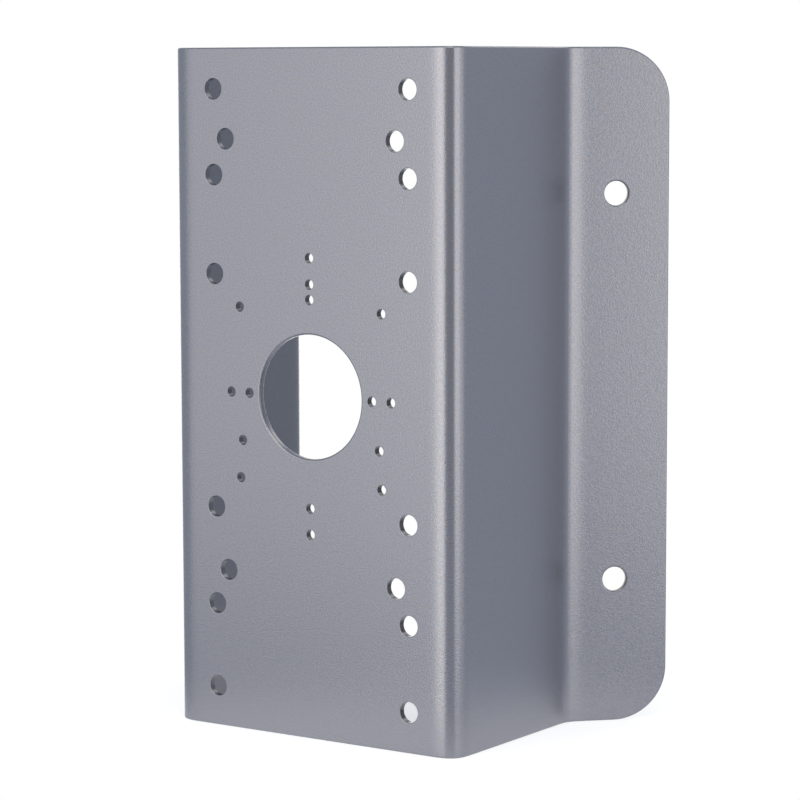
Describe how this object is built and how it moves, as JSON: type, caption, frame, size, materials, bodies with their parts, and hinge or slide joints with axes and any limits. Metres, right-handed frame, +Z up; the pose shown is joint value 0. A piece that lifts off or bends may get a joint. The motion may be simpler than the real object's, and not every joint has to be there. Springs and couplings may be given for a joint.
{
  "type": "camera corner mount bracket",
  "caption": "Tall folded sheet-steel bracket that holds a camera on a building's outside corner: drilled front plate, side walls and wings turned out to lie on the building.",
  "frame": {"origin": "centre of the cable hole, on the front face of the plate", "axes": "+X along the plate to the right wing, +Y back towards the building's corner, +Z up along the folds"},
  "size_m": [0.1784, 0.104, 0.25],
  "materials": {
    "powder_coated_steel": "fine silver-grey powder coat, satin"
  },
  "bodies": {
    "root": {"corner_bracket": "powder_coated_steel"}
  },
  "joints": []
}
